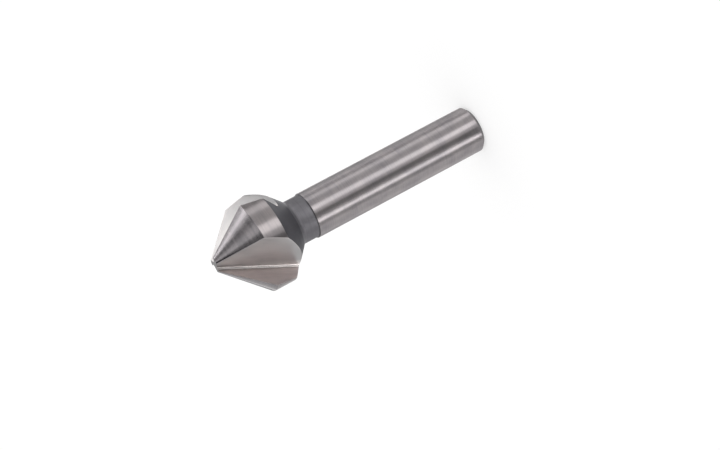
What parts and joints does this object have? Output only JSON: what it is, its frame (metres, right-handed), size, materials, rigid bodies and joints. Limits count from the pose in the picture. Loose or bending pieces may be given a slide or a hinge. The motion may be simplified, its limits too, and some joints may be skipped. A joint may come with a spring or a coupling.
{
  "type": "countersink bit",
  "caption": "Conical countersink cutter: a fluted right-angle cone on a short cylindrical margin, with a dark back cone and neck and a plain round shank for a chuck.",
  "frame": {"origin": "centre of the shank's flat end face", "axes": "+Z along the tool's axis from the shank end to the tip; the -X side carries the root line of one flute"},
  "size_m": [0.02, 0.0203, 0.063],
  "materials": {
    "ground_steel": "ground bright on the cone, margin, flutes and shank; dark heat-treated skin on the back cone and neck"
  },
  "bodies": {
    "root": {"countersink_bit": "ground_steel"}
  },
  "joints": []
}
